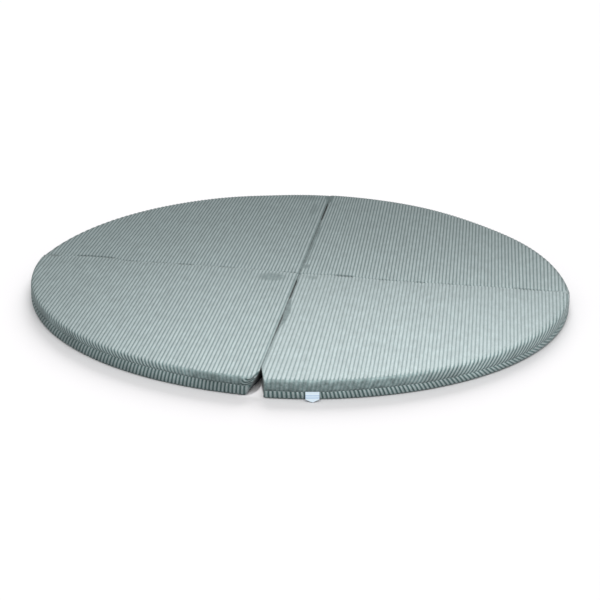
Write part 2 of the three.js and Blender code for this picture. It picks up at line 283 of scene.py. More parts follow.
def fold_line(x):
    """y of the left-right fold, which runs a little askew and wavers."""
    slope = math.tan(math.radians(FOLD_SLOPE_DEG))
    line = slope * x - FOLD_WAVER * np.sin(2 * math.pi * x / FOLD_WAVE_LENGTH)
    for middle, half_length, distance in FOLD_BENDS:
        line = line + distance * np.exp(-((x - middle) / half_length) ** 4)
    return line


def fold_openness(x):
    """From 0 where the left-right fold is closed to 1 where it stands open."""
    opened = np.zeros_like(x)
    for start, stop, openness in OPEN_FOLDS:
        begun = smooth((x - start) / OPEN_SOFTNESS + 0.5)
        opened = np.maximum(opened, openness * begun * smooth((stop - x) / OPEN_SOFTNESS + 0.5))
    return opened


def through_four(values, t):
    """A curve's value at t, from 0 to 1, through four evenly spaced values."""
    a, b, c, d = values
    s = 3 * t
    return (
        -a * (s - 1) * (s - 2) * (s - 3) / 6
        + b * s * (s - 2) * (s - 3) / 2
        - c * s * (s - 1) * (s - 3) / 2
        + d * s * (s - 1) * (s - 2) / 6
    )


def curve_through(points, steps):
    """Points on a smooth curve through the given ones, with that many steps between two of them."""
    p = np.array(points, float)
    longer = np.vstack([2 * p[0] - p[1], p, 2 * p[-1] - p[-2]])
    t = (np.arange(steps) / steps)[:, None]
    made = []
    for i in range(len(p) - 1):
        before, here, there, after = longer[i : i + 4]
        made.append(0.5 * (
            2 * here + (there - before) * t + (2 * before - 5 * here + 4 * there - after) * t ** 2
            + (3 * here - before - 3 * there + after) * t ** 3))
    return np.vstack([*made, p[-1:]])


def near_top(z):
    """A share that grows to 1 at the top edge, and is small lower down."""
    return (z / HEIGHT) ** 6


def waves(x, y, seed, lengths):
    """A soft unevenness from -1 to 1, made of one wave for each length."""
    rng = np.random.default_rng(seed)
    total = 0
    for length in lengths:
        heading, phase = rng.uniform(0, 2 * math.pi, 2)
        total = total + np.sin(2 * math.pi * (x * math.cos(heading) + y * math.sin(heading)) / length + phase)
    return total / len(lengths)


def rounded(depth, width, beside, roundness=1.0):
    """How far an edge falls away beside its wall: quarter-round, or a soft slope at roundness 0."""
    left = np.clip(1 - beside / width, 0, 1)
    return depth * (roundness * (1 - np.sqrt(1 - left * left)) + (1 - roundness) * left ** 2)


def from_pairs(pairs, places):
    """Values at some places, read from pairs of place and value."""
    return np.interp(places, [pair[0] for pair in pairs], [pair[1] for pair in pairs])


def rib_below(nominal):
    """How far a rib's surface lies below its ridge, as a share of the ribs' depth."""
    phase = (nominal - SEAM_GAP / 2) / RIB_PITCH + 0.5
    ends = RIB_PROFILE + RIB_PROFILE[:1]
    return np.interp(phase % 1, np.arange(COLUMNS_PER_RIB + 1) / COLUMNS_PER_RIB, ends)


def zip_lines(a, b, points, faces):
    """Joins two lines of vertices with triangles, keeping step along their lengths."""
    def along(line):
        steps = np.linalg.norm(np.diff(points[line], axis=0), axis=1)
        total = np.concatenate([[0], np.cumsum(steps)])
        return total / max(total[-1], 1e-9)

    at, bt = along(a), along(b)
    i = j = 0
    while i < len(a) - 1 or j < len(b) - 1:
        if j == len(b) - 1 or (i < len(a) - 1 and at[i + 1] <= bt[j + 1]):
            faces.append((a[i], a[i + 1], b[j]))
            i += 1
        else:
            faces.append((a[i], b[j + 1], b[j]))
            j += 1


def grid_faces(at, faces):
    """Faces between the rows of a grid of vertices. Where two corners are one, the face has three."""
    for here, there in zip(at[:-1], at[1:]):
        for corners in zip(here[:-1], here[1:], there[1:], there[:-1]):
            faces.append(tuple(dict.fromkeys(int(c) for c in corners)))


def turn_outward(mesh):
    shell = bmesh.new()
    shell.from_mesh(mesh)
    bmesh.ops.recalc_face_normals(shell, faces=shell.faces)
    shell.to_mesh(mesh)
    shell.free()


def mesh_object(name, points, faces, material, attributes=None):
    """A smooth mesh from points in millimetres. Each attribute has a number for each point."""
    mesh = bpy.data.meshes.new(name)
    placed = (np.asarray(points, float) + CROSSING) * MM
    mesh.from_pydata(placed.tolist(), [], [tuple(int(i) for i in face) for face in faces])
    turn_outward(mesh)
    for key, values in (attributes or {}).items():
        layer = mesh.attributes.new(key, "FLOAT", "POINT")
        layer.data.foreach_set("value", np.asarray(values, np.float32))
    mesh.polygons.foreach_set("use_smooth", [True] * len(mesh.polygons))
    mesh.update()
    mesh.materials.append(material)
    piece = bpy.data.objects.new(name, mesh)
    bpy.context.scene.collection.objects.link(piece)
    return piece


# The crossing of the folds: the strip between the back quarters starts BACK_STRIP_START behind it
BACK_STRIP_START = 20
strip_low, strip_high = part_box("fold_back")
CROSSING = np.array([(strip_low.x + strip_high.x) / 2 / MM, strip_low.y / MM - BACK_STRIP_START, 0])


# Camera: degrees, and millimetres from the crossing
CAMERA = dict(azimuth=7.446, elevation=21.0, roll=1.098, distance=4855, lens=98.37, target=(16, -90.3, 0))


def add_camera():
    azimuth, elevation, roll = (math.radians(CAMERA[k]) for k in ("azimuth", "elevation", "roll"))
    level = math.cos(elevation)
    back = Vector((math.sin(azimuth) * level, -math.cos(azimuth) * level, math.sin(elevation)))
    right = Vector((0, 0, 1)).cross(back).normalized()
    up = back.cross(right)
    c, s = math.cos(roll), math.sin(roll)
    right, up = c * right + s * up, c * up - s * right
    data = bpy.data.cameras.new("camera")
    data.lens = CAMERA["lens"]
    data.sensor_width = 36
    data.clip_end = 60
    camera = bpy.data.objects.new("camera", data)
    place = (Vector(CAMERA["target"]) + Vector(CROSSING)) * MM + back * CAMERA["distance"] * MM
    turned = Matrix((right, up, back)).transposed().to_4x4()
    camera.matrix_world = Matrix.Translation(place) @ turned
    bpy.context.scene.collection.objects.link(camera)
    bpy.context.scene.camera = camera


add_camera()


# Materials
def node_material(name):
    material = bpy.data.materials.new(name)
    material.use_nodes = True
    nodes = material.node_tree.nodes
    return material, nodes, material.node_tree.links, nodes["Principled BSDF"]


def add(nodes, kind, inputs=None, **settings):
    """A new node, with its inputs' values and its other settings."""
    node = nodes.new(kind)
    for key, value in settings.items():
        setattr(node, key, value)
    for key, value in (inputs or {}).items():
        node.inputs[key].default_value = value
    return node


def multiplied(nodes, links, first, second):
    product = add(nodes, "ShaderNodeMath", operation="MULTIPLY")
    links.new(first, product.inputs[0])
    links.new(second, product.inputs[1])
    return product.outputs["Value"]


def noise(nodes, links, vector, scale, detail, roughness):
    texture = add(nodes, "ShaderNodeTexNoise", {"Scale": scale, "Detail": detail, "Roughness": roughness})
    links.new(vector, texture.inputs["Vector"])
    return texture.outputs["Fac"]


def stretch(nodes, links, value, low, high):
    """A noise's common values, stretched to run from low to high."""
    inputs = {"From Min": 0.3, "From Max": 0.7, "To Min": low, "To Max": high}
    ranged = add(nodes, "ShaderNodeMapRange", inputs)
    links.new(value, ranged.inputs["Value"])
    return ranged.outputs["Result"]


def bump(nodes, links, height, strength, distance, before=None):
    """A bumped normal, on top of one before it. The strength is a number or another node's output."""
    bumped = add(nodes, "ShaderNodeBump", {"Distance": distance})
    links.new(height, bumped.inputs["Height"])
    if isinstance(strength, float):
        bumped.inputs["Strength"].default_value = strength
    else:
        links.new(strength, bumped.inputs["Strength"])
    if before:
        links.new(before, bumped.inputs["Normal"])
    return bumped.outputs["Normal"]


# The pile's colours: in the band's valleys, in the valleys of the top and on the ridges. The valleys' dark is
# partly the bare ground of the cord and partly painted shade, deepest on the band.
DEEP_VALLEY = (0.022, 0.048, 0.046, 1)
VALLEY = (0.057, 0.092, 0.092, 1)
RIDGE = (0.194, 0.236, 0.239, 1)
RIDGE_FROM = 0.9
SHEEN = (0.85, 0.93, 0.93, 1)


def corduroy():
    """Velvet corduroy: light ridges of dense pile, dark valleys that are partly painted shade, and a nap that
    is brushed unevenly. Its brightness attribute also carries painted light and shade.
    """
    material, nodes, links, shader = node_material("corduroy")
    rib, nap, crush = (
        add(nodes, "ShaderNodeAttribute", attribute_name=key).outputs["Fac"]
        for key in ("rib", "nap", "crush"))
    place = add(nodes, "ShaderNodeTexCoord").outputs["Object"]
    brushed = noise(nodes, links, place, 22.0, 5.0, 0.65)
    tufts = noise(nodes, links, place, 260.0, 3.0, 0.6)
    pile = noise(nodes, links, place, 900.0, 2.0, 0.7)
    crumpled = noise(nodes, links, place, 75.0, 4.0, 0.6)
    along_ribs = add(nodes, "ShaderNodeMapping", {"Scale": (95.0, 24.0, 60.0)})
    links.new(place, along_ribs.inputs["Vector"])
    streaks = noise(nodes, links, along_ribs.outputs["Vector"], 1.0, 3.0, 0.6)

    ramp = add(nodes, "ShaderNodeValToRGB")
    links.new(rib, ramp.inputs["Fac"])
    stops = ramp.color_ramp.elements
    stops[0].position, stops[0].color = 0.0, DEEP_VALLEY
    stops[1].position, stops[1].color = RIDGE_FROM, RIDGE
    stops.new(1 - TOP_VALLEY).color = VALLEY

    crushed = add(nodes, "ShaderNodeMath", {2: 1.0}, operation="MULTIPLY_ADD")
    links.new(stretch(nodes, links, crumpled, -0.62, 0.62), crushed.inputs[0])
    links.new(crush, crushed.inputs[1])
    brightness = multiplied(
        nodes, links, stretch(nodes, links, brushed, 0.94, 1.06), stretch(nodes, links, tufts, 0.88, 1.1))
    brightness = multiplied(nodes, links, brightness, crushed.outputs["Value"])
    brightness = multiplied(nodes, links, brightness, stretch(nodes, links, streaks, 0.91, 1.09))
    # The covers' brightness: the nap's uneven tone together with painted light and shade
    brightness = multiplied(nodes, links, brightness, nap)
    tint = add(nodes, "ShaderNodeVectorMath", operation="SCALE")
    links.new(ramp.outputs["Color"], tint.inputs["Vector"])
    links.new(brightness, tint.inputs["Scale"])
    links.new(tint.outputs["Vector"], shader.inputs["Base Color"])

    dents = bump(nodes, links, crumpled, crush, 0.002)
    coarse = bump(nodes, links, tufts, 0.5, 0.0006, dents)
    links.new(bump(nodes, links, pile, 0.5, 0.0003, coarse), shader.inputs["Normal"])

    shader.inputs["Roughness"].default_value = 0.95
    shader.inputs["Specular IOR Level"].default_value = 0.12
    shader.inputs["Sheen Weight"].default_value = 0.12
    shader.inputs["Sheen Roughness"].default_value = 0.5
    shader.inputs["Sheen Tint"].default_value = SHEEN
    return material


STRIP_DARK = (0.055, 0.075, 0.075, 1)
STRIP_LIGHT = (0.10, 0.13, 0.13, 1)


def strip_cloth():
    """The flat cloth of the joining strips, with a fine weave."""
    material, nodes, links, shader = node_material("strip_cloth")
    coordinates = add(nodes, "ShaderNodeTexCoord")
    weave = add(nodes, "ShaderNodeTexWave", {"Scale": 420.0, "Distortion": 1.5, "Detail": 2.0})
    mottle = add(nodes, "ShaderNodeTexNoise", {"Scale": 40.0, "Detail": 3.0})
    for texture in (weave, mottle):
        links.new(coordinates.outputs["Object"], texture.inputs["Vector"])
    ramp = add(nodes, "ShaderNodeValToRGB")
    links.new(mottle.outputs["Fac"], ramp.inputs["Fac"])
    stops = ramp.color_ramp.elements
    stops[0].position, stops[0].color = 0.3, STRIP_DARK
    stops[1].position, stops[1].color = 0.7, STRIP_LIGHT
    links.new(ramp.outputs["Color"], shader.inputs["Base Color"])
    links.new(bump(nodes, links, weave.outputs["Fac"], 0.4, 0.0003), shader.inputs["Normal"])
    shader.inputs["Roughness"].default_value = 0.95
    shader.inputs["Specular IOR Level"].default_value = 0.1
    return material


# Where the label's two woven stripes lie, as shares of its fall
LABEL_STRIPES = ((0.34, 0.42), (0.54, 0.62))
STRIPE_SOFTNESS = 0.03
LABEL_WHITE = (0.74, 0.87, 0.97, 1)
LABEL_PALE = (0.46, 0.62, 0.82, 1)


def satin():
    """The label's white woven satin, with two pale stripes across it."""
    material, nodes, links, shader = node_material("label_satin")
    fall = add(nodes, "ShaderNodeAttribute", attribute_name="fall")
    coordinates = add(nodes, "ShaderNodeTexCoord")
    weave = add(nodes, "ShaderNodeTexWave", {"Scale": 700.0, "Distortion": 0.6, "Detail": 1.0})
    links.new(coordinates.outputs["Object"], weave.inputs["Vector"])
    ramp = add(nodes, "ShaderNodeValToRGB")
    links.new(fall.outputs["Fac"], ramp.inputs["Fac"])
    stops = ramp.color_ramp.elements
    stops[0].position, stops[0].color = 0.0, LABEL_WHITE
    stops[1].position, stops[1].color = 1.0, LABEL_WHITE
    for start, stop in LABEL_STRIPES:
        stops.new(start - STRIPE_SOFTNESS).color = LABEL_WHITE
        stops.new(start).color = LABEL_PALE
        stops.new(stop).color = LABEL_PALE
        stops.new(stop + STRIPE_SOFTNESS).color = LABEL_WHITE
    links.new(ramp.outputs["Color"], shader.inputs["Base Color"])
    links.new(bump(nodes, links, weave.outputs["Fac"], 0.3, 0.0002), shader.inputs["Normal"])
    shader.inputs["Roughness"].default_value = 0.5
    shader.inputs["Sheen Weight"].default_value = 0.2
    return material


CORDUROY, STRIP_CLOTH, SATIN = corduroy(), strip_cloth(), satin()


def rim_rows():
    """The rim's section as dense rows: inset, height, rib share, normal out and up, and cover length."""
    section = curve_through(RIM_SECTION, RIM_STEPS)
    inset, height, share = section.T
    steps = np.hypot(np.diff(inset), np.diff(height))
    gone = np.concatenate([[0], np.cumsum(steps)])
    rows = np.arange(len(section))
    lengths = np.where(rows <= SEAM_POINT * RIM_STEPS, gone - inset[0], gone[-1] - gone - inset[-1])
    along = np.stack([-np.gradient(inset), np.gradient(height)], axis=1)
    along /= np.linalg.norm(along, axis=1)[:, None]
    return inset, np.maximum(height, 0), np.clip(share, 0, 1), -along[:, 1], along[:, 0], lengths


RIM_INSET, RIM_HEIGHT, RIM_SHARE, RIM_OUT, RIM_UP, RIM_LENGTH = rim_rows()
SEAM_ROW = SEAM_POINT * RIM_STEPS
# The row where the band starts to round off into the underside
FOOT_ROW = len(RIM_INSET) - 2 * RIM_STEPS
# From 0 at the top edge and at the floor to 1 halfway down the band
RIM_BAND = np.sin(np.pi * np.clip((HEIGHT - RIM_HEIGHT) / HEIGHT, 0, 1))


class Quarter:
    """One foam quarter in its cover: rows round its section, and columns that follow the ribs."""

    def __init__(self, name, sizes):
        self.name = name
        self.__dict__.update(sizes)
        self.top_radius = float(self.radius(0)) - RIM_INSET[0]
        self.askew = self.side * self.front * math.tan(math.radians(self.turn))
        self.set_columns()
        self.grid, self.below, self.nap, self.crush = self.make_rows()

    def radius(self, angle):
        """The rim's widest line, by the angle from the left-right fold."""
        radius = through_four(self.radii, 2 * angle / math.pi)
        for place, spread, depth in self.hollows:
            radius = radius - depth * np.exp(-((np.degrees(angle) - place) / spread) ** 2)
        return radius

    def fold(self, u):
        """v of the side along the left-right fold."""
        return self.front * fold_line(self.side * u) + SEAM_GAP / 2

    def rib_below(self, place):
        return rib_below(place + self.phase * RIB_PITCH)

    def reach(self, angle, length):
        """How far out a rib runs that crosses the rim at that angle, after that length of cover."""
        return (self.radius(angle) + length) * np.cos(angle)

    def crossing(self, u, length):
        """The angle at which the rib that runs at u crosses the rim."""
        low, high = np.zeros_like(u), np.full_like(u, math.pi / 2)
        for _ in range(HALVINGS):
            angle = (low + high) / 2
            beyond = self.reach(angle, length) > u
            low, high = np.where(beyond, angle, low), np.where(beyond, high, angle)
        return (low + high) / 2

    def set_columns(self):
        end_angle = max(math.asin((float(self.fold(self.top_radius)) + END_WIDTH) / self.top_radius), 0)
        end = float(self.reach(end_angle, RIM_LENGTH[0]))
        step = RIB_PITCH / COLUMNS_PER_RIB
        even = np.arange(1, int((end - 1 - SEAM_GAP / 2) / step) + 1) * step
        ribs = SEAM_GAP / 2 + np.concatenate([[0], EDGE_COLUMNS, even])
        last = float(self.crossing(ribs[-1:], RIM_LENGTH[0])[0])
        ends = self.reach(last + (end_angle - last) * np.arange(1, END_STEPS + 1) / END_STEPS, RIM_LENGTH[0])
        self.u = np.concatenate([ribs, ends])
        self.spread = smooth(self.u / ASKEW_SPREAD) * smooth((self.u[-1] - self.u) / ASKEW_SPREAD)
        rim_v = np.sqrt(np.maximum(self.top_radius ** 2 - self.u ** 2, 0))
        self.rim_u = self.u + self.askew * rim_v * self.spread
        self.top_angle = self.crossing(self.rim_u, RIM_LENGTH[0])

    def nominal(self, u):
        """The rib place that the cover has at u on the rim."""
        return np.interp(u, self.rim_u, self.u) + np.maximum(u - self.rim_u[-1], 0)

    def between(self, pair, z):
        """Sizes at a height, from those at the floor and those at the top."""
        share = np.clip(z / HEIGHT, 0, 1)
        return (low + (top - low) * share for low, top in zip(*pair))

    def wedge(self, v, z):
        """How far the side along the middle seam is drawn in."""
        width, length = self.between(self.wedges, z)
        share = np.clip(1 - (self.radii[-1] - v) / length, 0, 1)
        return width * share ** 2 * (1 + WEDGE_SOFTNESS) / (share + WEDGE_SOFTNESS)

    def clear_of_wedge(self, u, v, z):
        """u moved out of the wedge, and how far beside the wall it lies."""
        wedge = self.wedge(v, z)
        squeezed = np.clip(1 - (u - SEAM_GAP / 2) / np.maximum(WEDGE_SPREAD * wedge, 1e-6), 0, 1)
        moved = u + wedge * squeezed
        beside = np.maximum(moved - SEAM_GAP / 2 - wedge, 0)
        return moved - self.closing(v, z) * np.clip(1 - beside / CLOSING_REACH, 0, 1), beside

    def sunk(self, along, v, beside, z):
        """How far the surface has sunk beside the middle seam and at the outer corner."""
        sag, reach = self.droop
        corner = sag * (1 - smooth(np.hypot(beside, np.maximum(self.radii[-1] - v, 0)) / reach))
        opened = self.open_seam(v)
        depth = np.interp(along, DIP_PLACES, self.dips) * (CLOSED_DIP + (1 - CLOSED_DIP) * opened)
        dip = rounded(depth, self.dip_width, beside, opened)
        return (dip + corner) * (z / HEIGHT) ** 2

    def open_seam(self, v):
        return from_pairs(self.seam, v)

    def closing(self, v, z):
        """How far the covers bulge into the middle seam: nearly shut where it is closed."""
        return (SEAM_CLOSED - (SEAM_CLOSED + SEAM_OPENED) * self.open_seam(v)) * near_top(z)

    def opened(self, u, v, reach):
        """From 0 to 1 where the fold stands open, within a reach of it."""
        return fold_openness(self.side * u) * (1 - smooth((v - self.fold(u)) / reach))

    # A row is its points, how dark each is, partly painted shade in the valleys, how bright it is, the nap's
    # own tone with painted light and shade, and how crushed its pile is
    def fold_row(self, row):
        """A row along the left-right fold. Its outer end runs out to the rim."""
        insets, height, share = FOLD_SECTION[row]
        under, over = FOLD_SECTION[max(row - 1, 0)], FOLD_SECTION[min(row + 1, len(FOLD_SECTION) - 1)]
        rise, lean = over[1] - under[1], over[0][0] - under[0][0]
        out, up = rise / math.hypot(rise, lean), lean / math.hypot(rise, lean)
        if row == len(FOLD_SECTION) - 1:
            out, up = 0, 1
        end = smooth(1 - (self.u[-1] - self.u) / (REACH_RIBS * RIB_PITCH)) * (height < HEIGHT)
        rim_inset = np.interp(height, RIM_HEIGHT[::-1], RIM_INSET[::-1])
        u = self.u + max(RIM_INSET[0] - rim_inset - 1, 0) * end
        opened = fold_openness(self.side * u)
        below = self.rib_below(u) * share * (1 - end)
        v = self.fold(u) + insets[0] + (insets[1] - insets[0]) * opened + below * RIB_DEPTH * out
        z = height - self.sunk(0, v, self.u - SEAM_GAP / 2, height) - below * RIB_DEPTH * up
        z = z - OPEN_SAG * opened * near_top(height)
        u[0] += FOOT_INSET * (row == 0) - self.closing(v[0], height)
        # Painted shade along the top edge of the fold side, deeper where the fold stands open
        nap = 1 - (FOLD_SIDE_SHADE + OPEN_FOLD_SHADE * opened) * near_top(height)
        return np.stack([u, v, z], axis=1), below, nap, np.full_like(u, FOLD_CRUSH)

    def rim_angle(self, row):
        """The angle of each column on a row of the rim. Near the fold the columns run straight down."""
        slanted = self.crossing(self.rim_u, RIM_LENGTH[row])
        slant = smooth((self.top_angle - SLANT_FROM) / SLANT_OVER)
        return self.top_angle + (slanted - self.top_angle) * slant

    def rim_ribs(self, row, place, beside, from_seam):
        """How far a row of the rim lies below its ridges, and how far its ribs are pressed flat or curled."""
        ribbed = self.rib_below(place)
        flat, curl = np.zeros_like(place), np.zeros_like(place)
        if PRESSED_ROW < row < SEAM_ROW:
            near = 1 - smooth((from_seam - self.pressed) / PRESSED_SOFTNESS)
            flat = near * smooth((row - PRESSED_ROW) / PRESSED_ROWS)
        if self.curls and row < SEAM_ROW:
            down = HEIGHT - RIM_HEIGHT[row]
            curled = rib_below(np.hypot(beside - CURL_MIDDLE, down + CURL_ABOVE) * CURL_TIGHTNESS)
            curl = (1 - smooth((beside - CURL_WIDTH) / CURL_SOFTNESS)) * smooth(down / CURL_START)
            ribbed = ribbed + (curled - ribbed) * curl
            flat = flat * (1 - curl)
        return ribbed, flat, curl

    def rim_look(self, row, x, y, from_seam, ribbed, flat, curl):
        """How dark the ribs of a row of the rim are, with painted shade in the valleys down the band; how
        bright it is, with painted light and shade on the band, the curls, the mid seam and the back rim; and
        how crushed its pile is.
        """
        # Painted shade: the valleys grow darker and wider down the band
        gone_down = float(smooth(row / VALLEY_ROWS))
        width = LOWER_VALLEY_WIDTH if row > SEAM_ROW else 1 + (UPPER_VALLEY_WIDTH - 1) * gone_down
        dark = ribbed ** (width + (CURL_VALLEY_WIDTH - width) * curl)
        dark = dark * (TOP_VALLEY + (1 - TOP_VALLEY) * gone_down)
        dark = dark * (1 - PRESSED_FADE * flat) + PRESSED_DARK * flat

        uneven = NAP_WAVE * waves(x, y, self.seed + NAP_SEED, NAP_WAVE_LENGTHS)
        # Painted light and shade on the band by angle from the middle seam, over the nap's uneven tone
        nap = 1 + RIM_BAND[row] * (from_pairs(self.band, from_seam) - 1 + uneven)
        # Painted shade on the curled ribs at the slit's corner
        nap = nap * (1 - CURL_SHADE * curl)
        # Painted shade in the mid seam's groove
        if row < FOOT_ROW:
            nap = nap * (1 - SEAM_SHADE * (1 - RIM_SHARE[row]))
        # Painted shade on the back rim's rounding, which turns away from the light
        if self.front > 0:
            nap = nap * (1 - BACK_RIM_SHADE * smooth((RIM_INSET[0] - RIM_INSET[row]) / BACK_RIM_TURN))
        return dark, nap, (BAND_CRUSH + PRESSED_CRUSH * flat) * smooth(row / BAND_CRUSH_ROWS)

    def joint_lift(self, from_seam, height):
        """How far a row of the rim is raised so that the panels meet at their own height."""
        joint = RIM_HEIGHT[SEAM_ROW]
        nearness = min(height / joint, (HEIGHT - height) / (HEIGHT - joint))
        return (from_pairs(self.joint, from_seam) - joint) * nearness

    def rim_row(self, row):
        """A row along the rim, where the ribs run down and lean towards the mid seam."""
        height = RIM_HEIGHT[row]
        angle = self.rim_angle(row)
        from_seam = 90 - np.degrees(angle)
        smooth_radius = self.radius(angle) - RIM_INSET[row]
        x, y = smooth_radius * np.cos(angle), smooth_radius * np.sin(angle)
        u = np.maximum(x, SEAM_GAP / 2 + LEAST_STEP * np.arange(len(x)))
        u[0] = SEAM_GAP / 2
        moved, beside = self.clear_of_wedge(u, y, height)
        place = self.nominal(self.reach(angle, RIM_LENGTH[row])) + moved - u
        if row > SEAM_ROW:
            place = place + RIB_PITCH / 2
        ribbed, flat, curl = self.rim_ribs(row, place, beside, from_seam)
        below = ribbed * RIM_SHARE[row] * (1 - PRESSED_RELIEF * flat + CURL_RELIEF * curl) * RIB_DEPTH
        seed = self.seed + LOWER_BAND_SEED * (row > SEAM_ROW)
        bulge = BAND_BULGE * RIM_BAND[row] * waves(x, y, seed, BAND_WAVE_LENGTHS)
        r = smooth_radius - below * RIM_OUT[row] + bulge
        corner_length, corner_depth, roundness = self.between(self.corners, height)
        v = r * np.sin(angle) - rounded(corner_depth, corner_length, beside, roundness)
        u = np.where(u > SEAM_GAP / 2, np.maximum(u, r * np.cos(angle)), u)
        moved, beside = self.clear_of_wedge(u, v, height)
        lift = self.joint_lift(from_seam, height)
        z = height + lift - self.sunk(1, v, beside, height) - below * RIM_UP[row]
        moved[0] += FOOT_INSET * (row == len(RIM_INSET) - 1)
        return np.stack([moved, v, z], axis=1), *self.rim_look(row, x, y, from_seam, ribbed, flat, curl)

    def crushed(self, u, v, beside):
        """From 0 to 1 where the ribs of the top are crushed: along the middle seam and in patches."""
        crush = 1 - smooth((beside - from_pairs(self.bare, v) + BARE_SOFTNESS / 2) / BARE_SOFTNESS)
        for place_u, place_v, half_width, half_length, share in self.patches:
            away = np.hypot((u - place_u) / half_width, (v - place_v) / half_length)
            crush = np.maximum(crush, share * (1 - smooth((away - PATCH_CORE) / (1 - PATCH_CORE))))
        return crush

    def top_row(self, along, fold_side, rim_side):
        """A row across the top, some share of the way from the fold to the rim."""
        v = fold_side[:, 1] + (rim_side[:, 1] - fold_side[:, 1]) * along
        u = self.u + (self.rim_u - self.u) * along
        moved, beside = self.clear_of_wedge(u, v, HEIGHT)
        inner = 1 - (2 * along - 1) ** 4
        crown = CROWN * (1 - np.abs(2 * self.u / self.top_radius - 1) ** 3) * inner
        wave = waves(self.side * u, self.front * v, self.seed + TOP_SEED, TOP_WAVE_LENGTHS)
        uneven = TOP_WAVE * inner * wave
        crush = self.crushed(u, v, beside)
        below = self.rib_below(self.u + moved - u) * (1 - crush)
        z = HEIGHT + crown + uneven - self.sunk(along, v, beside, HEIGHT) - below * RIB_DEPTH
        z = z - OPEN_SAG * self.opened(u, v, OPEN_SAG_REACH)
        # Crushed pile is darker; close beside open folds the shade is painted
        nap = (1 - CRUSH_SHADE * crush) * (1 - OPEN_FOLD_NEAR_SHADE * self.opened(u, v, OPEN_FOLD_NEAR))
        # The valleys' dark is partly the bare ground of the cord, partly painted shade
        dark = TOP_VALLEY * self.valley * below + CRUSH_DARK * crush
        return np.stack([moved, v, z], axis=1), dark, nap, CRUSH_MOTTLE * crush

    def make_rows(self):
        rows = [self.fold_row(row) for row in range(len(FOLD_SECTION))]
        fold_side, rim_side = rows[-1][0], self.rim_row(0)[0]
        for along in 0.5 - 0.5 * np.cos(np.pi * np.arange(1, TOP_ROWS + 1) / (TOP_ROWS + 1)):
            rows.append(self.top_row(along, fold_side, rim_side))
        rows.extend(self.rim_row(row) for row in range(len(RIM_INSET)))
        rim_foot, fold_foot = rows[-1], rows[0]
        for along in np.arange(1, BOTTOM_ROWS + 1) / (BOTTOM_ROWS + 1):
            rows.append(tuple(a + (b - a) * along for a, b in zip(rim_foot, fold_foot)))
        return (np.array(part) for part in zip(*rows))

    def make_wall(self, crest, rim_edge):
        """Levels of the wall along the middle seam, below its crest and out to the rim's edge."""
        edge_order = np.argsort(rim_edge[:, 2])
        end_shares = np.arange(1, WALL_END_LINES + 1) / (WALL_END_LINES + 1)
        levels, below, painted_shades = [], [], []
        for level in range(1, WALL_LEVELS + 1):
            z = WALL_LOWEST + (crest[:, 2] - WALL_LOWEST) * (1 - level / WALL_LEVELS)
            edge_v = np.interp(z[-1], rim_edge[edge_order, 2], rim_edge[edge_order, 1])
            v = np.concatenate([crest[:, 1], crest[-1, 1] + (edge_v - crest[-1, 1]) * end_shares])
            z = np.concatenate([z, np.full(WALL_END_LINES, z[-1])])
            tops = np.concatenate([crest[:, 2], np.full(WALL_END_LINES, crest[-1, 2])])
            beyond = np.maximum(v - (self.radii[-1] - WALL_CURL_LENGTH), 0)
            curl = np.hypot(beyond, tops - z) * CURL_TIGHTNESS
            lower = rib_below(curl + WALL_CURL_START) * smooth((z - WALL_LOWEST) / WALL_RIBS_FOOT)
            u = SEAM_GAP / 2 + self.wedge(v, z) + rounded(FOOT_INSET, FOOT_HEIGHT, z)
            u = u - self.closing(v, z * HEIGHT / tops)
            if self.wedges[0][0]:
                ribs_out = smooth((tops - z) / WALL_RIBS_EDGE) * smooth((v - WALL_RIBS_FROM) / WALL_RIBS_OVER)
                u = u + lower * WALL_RIB_DEPTH * ribs_out
            levels.append(np.stack([u, v, z], axis=1))
            below.append(lower)
            # Painted shade on the wall inside the middle seam, lighter towards the rim
            near_rim = 1 - smooth((self.radii[-1] - v) / WALL_LIGHT_REACH)
            painted_shades.append(WALL_SHADE + (WALL_LIGHT - WALL_SHADE) * near_rim)
        return np.array(levels), np.array(below), np.array(painted_shades)

    def build(self):
        count, width = self.grid.shape[:2]
        points = self.grid.reshape(-1, 3)
        at = np.arange(count * width).reshape(count, width)
        faces = []
        grid_faces(np.vstack([at, at[:1]]), faces)

        top_first = len(FOLD_SECTION) - 1
        top_last = top_first + TOP_ROWS + 1
        rim_foot = top_last + len(RIM_INSET) - 1
        crest_at = at[top_first : top_last + 1, 0]
        rim_at = at[top_last : rim_foot + 1, 0]
        wall, wall_below, wall_painted_shade = self.make_wall(points[crest_at], points[rim_at])
        wall_at = len(points) + np.arange(wall[..., 0].size).reshape(wall.shape[:2])
        points = np.vstack([points, wall.reshape(-1, 3)])
        crest_row = np.concatenate([crest_at, np.full(WALL_END_LINES, crest_at[-1])])
        grid_faces(np.vstack([crest_row, wall_at])[:, ::-1], faces)
        zip_lines(rim_at[1:], np.concatenate([crest_at[-1:], wall_at[:, -1]]), points, faces)
        zip_lines(np.concatenate([crest_at[:1], wall_at[:, 0]]), at[top_first - 1 :: -1, 0], points, faces)
        underneath = np.concatenate([at[rim_foot:, 0], at[:1, 0]])
        zip_lines(wall_at[-1, ::-1], underneath, points, faces)
        # The narrow end at the fold's outer corner
        zip_lines(at[: top_first + 1, -1], at[: top_first : -1, -1], points, faces)

        # rib: the valleys' dark, partly painted shade; the brightness attribute: the nap's tone with painted
        # light and shade
        attributes = {
            "rib": 1 - np.concatenate([self.below.ravel(), wall_below.ravel()]),
            "nap": np.concatenate([self.nap.ravel(), wall_painted_shade.ravel()]),
            "crush": np.concatenate([self.crush.ravel(), np.full(wall_below.size, WALL_CRUSH)]),
        }
        placed = points * np.array([self.side, self.front, 1])
        piece = mesh_object(self.name.replace("pad", "cover"), placed, faces, CORDUROY, attributes)
        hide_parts(self.name)
        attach(piece, "root")
        return piece


